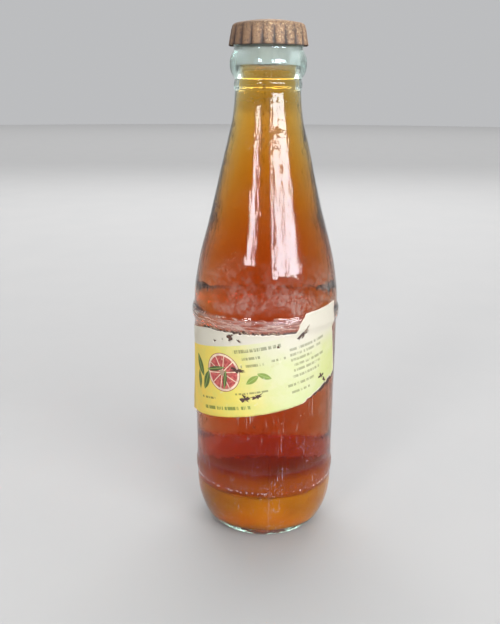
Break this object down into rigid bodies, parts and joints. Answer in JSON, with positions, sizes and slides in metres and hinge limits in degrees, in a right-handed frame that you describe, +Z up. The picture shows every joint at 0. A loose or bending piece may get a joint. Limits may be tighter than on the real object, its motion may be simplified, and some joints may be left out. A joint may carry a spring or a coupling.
{
  "type": "glass soda bottle",
  "caption": "Returnable pale green glass soda bottle with a crown finish, filled, closed by a fluted crown cap that lifts off, with a torn paper label.",
  "frame": {"origin": "centre of the bottle's base, on the surface that it stands on", "axes": "+Z up along the bottle's axis, -Y towards the middle of the view that shows the label, +X to the right in that view"},
  "size_m": [0.0594, 0.0592, 0.2008],
  "materials": {
    "bottle_glass": "clear pale green soda-lime glass, slightly wavy, with seeds and scuffs",
    "orange_soda": "clear amber orange drink",
    "printed_paper": "thin printed label paper, yellowed, torn and spotted",
    "dried_paste": "dried label paste, matt brown film",
    "rusty_tinplate": "pressed tinplate, rusted brown all over",
    "cork": "compressed cork granules"
  },
  "bodies": {
    "bottle": {"glass_bottle": "bottle_glass", "soda": "orange_soda", "label": "printed_paper", "label_paste": "dried_paste"},
    "cap": {"crown_shell": "rusty_tinplate", "cork_liner": "cork"}
  },
  "joints": [
    {"name": "cap_lift", "type": "slide", "parent": "bottle", "child": "cap", "axis": [0, 0, 1], "range_m": [0, 0.04]}
  ]
}
